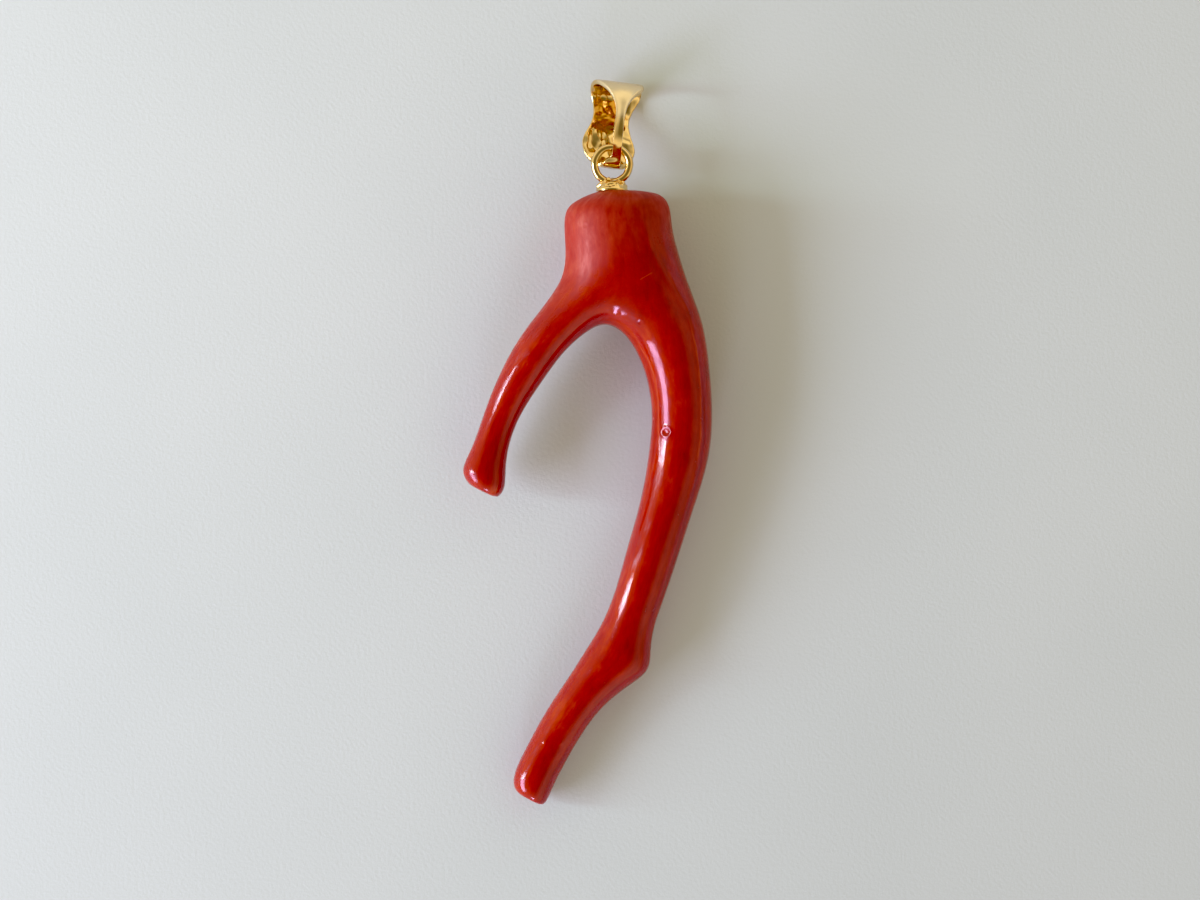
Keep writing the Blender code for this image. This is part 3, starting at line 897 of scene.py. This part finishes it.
def coral_finish():
    made, tree, shader = new_material("polished_coral")
    grain = add_node(tree, "ShaderNodeAttribute", attribute_name="grain").outputs["Vector"]
    polish = add_node(tree, "ShaderNodeAttribute", attribute_name="polish").outputs["Fac"]
    clouds = stretched_noise(tree, grain, (0.50, 0.22, 0.50), 1.0, 5.0, 0.6)
    streaks = stretched_noise(tree, grain, (1.0, 0.12, 1.0), 3.2, 4.0, 0.6)
    fibres = stretched_noise(tree, grain, (1.0, 0.06, 1.0), 10.0, 2.0)
    lit_side = add_node(tree, "ShaderNodeAttribute", attribute_name="side").outputs["Fac"]
    mottles = stretched_noise(tree, grain, (1.0, 0.45, 1.0), 1.6, 5.0, 0.6)
    tone = math_node(
        tree,
        "ADD",
        math_node(tree, "MULTIPLY", clouds, 0.40),
        math_node(tree, "MULTIPLY", mottles, 0.42),
    )
    tone = math_node(tree, "ADD", tone, math_node(tree, "MULTIPLY", streaks, 0.15))
    # Painted light and shade: the left-facing side is painted lighter, the right-facing side
    # darker.
    tone = math_node(tree, "ADD", tone, map_range(tree, lit_side, 0.0, 1.0, -0.045, 0.085))
    tone = math_node(tree, "ADD", tone, scratch_mask(tree, SCRATCH))
    # Pale spots, and two painted highlights among them.
    tone = math_node(tree, "ADD", tone, pale_spots_and_glints(tree))
    standing = 0.0
    # Painted highlight and shade: the lines' tone paints light and dark reflection lines; their
    # bump is a low relief.
    for line, half_width, painted_tone, stands in RIDGE_REFLECTION_LINES:
        on_line = reflection_line(tree, line, half_width)
        tone = math_node(tree, "ADD", tone, math_node(tree, "MULTIPLY", on_line, painted_tone))
        standing = math_node(
            tree, "ADD", math_node(tree, "MULTIPLY", on_line, stands * LINE_BUMP), standing
        )
    body = ramp(
        tree,
        tone,
        (
            (0.34, (0.232, 0.0010, 0.0004)),
            (0.46, (0.305, 0.0042, 0.0006)),
            (0.57, (0.355, 0.0115, 0.0010)),
            (0.70, (0.43, 0.0340, 0.0045)),
        ),
    )
    matte = map_range(tree, polish, 0.0, 1.0, 1.0, 0.0)
    # Painted sheen: the matte part's colour is mixed, in patches, towards pale pink, standing in
    # for the window's soft reflection on it.
    matte_painted_sheen = math_node(tree, "MULTIPLY", matte, map_range(tree, mottles, 0.35, 0.65, 0.04, 0.26))
    body = mix_colours(tree, matte_painted_sheen, body, (0.44, 0.066, 0.048))
    fibre_tone = ramp(tree, fibres, ((0.35, (0.93, 0.88, 0.88)), (0.65, (1.0, 1.0, 1.0))))
    body = mix_colours(tree, 1.0, body, fibre_tone, "MULTIPLY")
    tree.links.new(body, shader.inputs["Base Color"])
    patches = map_range(tree, mottles, 0.3, 0.7, -0.35, 0.35)
    rough = map_range(tree, math_node(tree, "ADD", polish, patches), 0.0, 1.2, 0.54, 0.05)
    tree.links.new(rough, shader.inputs["Roughness"])
    shader.inputs["IOR"].default_value = 1.52
    shader.inputs["Specular IOR Level"].default_value = 0.62
    tint = mix_colours(tree, polish, (1.0, 0.46, 0.40), (1.0, 0.64, 0.74))
    tree.links.new(tint, shader.inputs["Specular Tint"])
    shader.inputs["Subsurface Weight"].default_value = 0.12
    shader.inputs["Subsurface Radius"].default_value = (1.0, 0.18, 0.08)
    shader.inputs["Subsurface Scale"].default_value = 0.0012
    height = math_node(
        tree,
        "ADD",
        math_node(tree, "MULTIPLY", streaks, 0.7),
        math_node(tree, "MULTIPLY", fibres, 0.3),
    )
    height = math_node(tree, "ADD", height, standing)
    bump = add_node(
        tree, "ShaderNodeBump", {"Strength": 0.12, "Distance": 0.0001, "Height": height}
    )
    tree.links.new(bump.outputs["Normal"], shader.inputs["Normal"])
    return made


def gold_finish():
    made, tree, shader = new_material("yellow_gold")
    places = add_node(tree, "ShaderNodeTexCoord").outputs["Object"]
    worn = stretched_noise(tree, places, (1.0, 1.0, 1.0), 900.0, 3.0)
    colour = ramp(tree, worn, ((0.3, (0.76, 0.50, 0.19)), (0.7, (0.86, 0.61, 0.26))))
    satin_and_sheen = add_node(tree, "ShaderNodeAttribute", attribute_name="satin_and_sheen").outputs["Fac"]
    # Painted sheen: the satin front is painted paler and creamier than the rest of the gold.
    satin_painted_sheen = math_node(tree, "MULTIPLY", satin_and_sheen, 0.7)
    colour = mix_colours(tree, satin_painted_sheen, colour, (0.92, 0.76, 0.50))
    tree.links.new(colour, shader.inputs["Base Color"])
    shader.inputs["Metallic"].default_value = 1.0
    rough = math_node(
        tree,
        "ADD",
        map_range(tree, worn, 0.3, 0.7, 0.09, 0.17),
        math_node(tree, "MULTIPLY", satin_and_sheen, 0.22),
    )
    tree.links.new(rough, shader.inputs["Roughness"])
    bump = add_node(
        tree, "ShaderNodeBump", {"Strength": 0.10, "Distance": 0.00003, "Height": worn}
    )
    tree.links.new(bump.outputs["Normal"], shader.inputs["Normal"])
    return made


# Painted light and shade on the table: the spans over which it is painted paler to the left,
# towards the window, and darker downwards, in metres.
TABLE_LIT_ACROSS = (-0.06, 0.03)
TABLE_SHADE_DOWN = (0.03, -0.04)


def table_finish():
    made, tree, shader = new_material("pale_table")
    places = add_node(tree, "ShaderNodeTexCoord").outputs["Object"]
    tooth = stretched_noise(tree, places, (1.0, 1.0, 1.0), 2800.0, 3.0)
    cloud = stretched_noise(tree, places, (1.0, 1.0, 1.0), 30.0, 2.0)
    colour = ramp(tree, cloud, ((0.3, (0.650, 0.667, 0.660)), (0.7, (0.678, 0.691, 0.684))))
    parts = add_node(tree, "ShaderNodeSeparateXYZ", {"Vector": places})
    # Painted light: paler towards the window on the left.
    nearer = map_range(tree, parts.outputs["X"], *TABLE_LIT_ACROSS, 1.0, 0.0)
    shade = ramp(tree, nearer, ((0.0, (0.90, 0.90, 0.90)), (1.0, (1.07, 1.07, 1.075))))
    colour = mix_colours(tree, 1.0, colour, shade, "MULTIPLY")
    # Painted shade: darker downwards.
    down = map_range(tree, parts.outputs["Y"], *TABLE_SHADE_DOWN, 0.0, 1.0)
    shade = ramp(tree, down, ((0.0, (1.0, 1.0, 1.0)), (1.0, (0.93, 0.93, 0.93))))
    colour = mix_colours(tree, 1.0, colour, shade, "MULTIPLY")
    tree.links.new(colour, shader.inputs["Base Color"])
    shader.inputs["Roughness"].default_value = 0.8
    shader.inputs["Specular IOR Level"].default_value = 0.12
    bump = add_node(
        tree, "ShaderNodeBump", {"Strength": 0.25, "Distance": 0.00011, "Height": tooth}
    )
    tree.links.new(bump.outputs["Normal"], shader.inputs["Normal"])
    return made


# The camera looks straight down, as the photo's does.
CAMERA_PLACE = (1.25, -0.80, 350.0)
CAMERA_LENS = 103.65
CAMERA_SENSOR = 36.0
CAMERA_CLIP = (0.01, 50.0)
TABLE_SIZE = 4000.0
# The photo's camera drops the last trace of green and blue from deep reds: where each channel's
# curve leaves zero, and where it comes back to a straight line.
GREEN, BLUE = 1, 2
CAMERA_TOE = ((0.018, 0.0), (0.13, 0.13))

# How high in the sky the walls end and the dark ceiling is whole, as the sine of the elevation.
WALL_TOP = 0.48
CEILING = 0.90
ROOM_STRENGTH = 0.98

WINDOW_DISTANCE = 800.0
# A window's panes, as seen from the object: (start and end of its compass range in degrees, turned
# from the left towards +Y, lowest and highest elevation, radiance, colour).
WINDOW_PANES = (
    (-86.0, -74.0, 10.0, 22.0, 16.0, (0.80, 0.84, 1.30)),
    (-38.0, -1.0, 12.0, 33.0, 11.0, (0.82, 0.88, 1.30)),
    (-1.0, 6.0, 12.0, 33.0, 31.0, (0.72, 1.00, 1.10)),
)


def add_pane(first, last, low, high, radiance, colour):
    """One pane of the window, as a flat light that faces the object."""
    turn = math.radians((first + last) / 2)
    half_turn = math.radians((last - first) / 2)
    bottom = WINDOW_DISTANCE * math.tan(math.radians(low))
    top = WINDOW_DISTANCE * math.tan(math.radians(high))
    pane = bpy.data.lights.new("window_pane", "AREA")
    pane.shape = "RECTANGLE"
    pane.size = 2 * WINDOW_DISTANCE * math.tan(half_turn) * MM
    pane.size_y = (top - bottom) * MM
    pane.energy = radiance * math.pi * pane.size * pane.size_y
    pane.color = colour
    holder = bpy.data.objects.new("window_pane", pane)
    out = Vector((-math.cos(turn), math.sin(turn), 0))
    holder.location = (out * WINDOW_DISTANCE + Vector((0, 0, (top + bottom) / 2))) * MM
    holder.rotation_euler = (-out).to_track_quat("-Z", "Y").to_euler()
    bpy.context.scene.collection.objects.link(holder)


def build_surroundings():
    scene = bpy.context.scene
    half = TABLE_SIZE / 2 * MM
    mesh = bpy.data.meshes.new("table")
    mesh.from_pydata(
        [(-half, -half, 0), (half, -half, 0), (half, half, 0), (-half, half, 0)], [], [(0, 1, 2, 3)]
    )
    mesh.materials.append(table_finish())
    table = bpy.data.objects.new("table", mesh)
    scene.collection.objects.link(table)

    sensor = bpy.data.cameras.new("camera")
    sensor.lens = CAMERA_LENS
    sensor.sensor_width = CAMERA_SENSOR
    sensor.clip_start = CAMERA_CLIP[0]
    sensor.clip_end = CAMERA_CLIP[1]
    camera = bpy.data.objects.new("camera", sensor)
    camera.location = Vector(CAMERA_PLACE) * MM
    scene.collection.objects.link(camera)
    scene.camera = camera

    for pane in WINDOW_PANES:
        add_pane(*pane)

    world = bpy.data.worlds.new("room")
    scene.world = world
    world.use_nodes = True
    tree = world.node_tree
    background = tree.nodes["Background"]
    direction = add_node(tree, "ShaderNodeTexCoord").outputs["Generated"]
    parts = add_node(tree, "ShaderNodeSeparateXYZ", {"Vector": direction})
    towards_right = parts.outputs["X"]
    side = map_range(tree, towards_right, -1.0, 1.0, 1.0, 0.0)
    walls = ramp(
        tree,
        side,
        ((0.0, (0.72, 0.56, 0.34)), (0.16, (1.24, 1.14, 0.82)), (1.0, (0.98, 0.90, 0.66))),
    )
    overhead = map_range(tree, parts.outputs["Z"], WALL_TOP, CEILING, 0.0, 1.0)
    walls = mix_colours(tree, overhead, walls, (0.21, 0.18, 0.12))
    tree.links.new(walls, background.inputs["Color"])
    background.inputs["Strength"].default_value = ROOM_STRENGTH

    scene.view_settings.view_transform = "Standard"
    scene.view_settings.look = "None"
    scene.view_settings.exposure = 0.0
    scene.view_settings.use_curve_mapping = True
    curves = scene.view_settings.curve_mapping
    for channel in (GREEN, BLUE):
        points = curves.curves[channel].points
        for place, value in CAMERA_TOE:
            points.new(place, value)
        for point in points:
            point.handle_type = "VECTOR"
    curves.update()


def main():
    coral = build_coral(coral_finish())
    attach(coral, "pendant")
    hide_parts("coral_trunk", "coral_long_branch", "coral_short_branch")

    gold = gold_finish()
    for piece, node, body in (
        (build_cap(gold), "cap", "pendant"),
        (build_ring(gold), "ring", "pendant"),
        (build_bail(gold), "bail", "bail"),
    ):
        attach(piece, body)
        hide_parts(node)

    build_surroundings()


main()
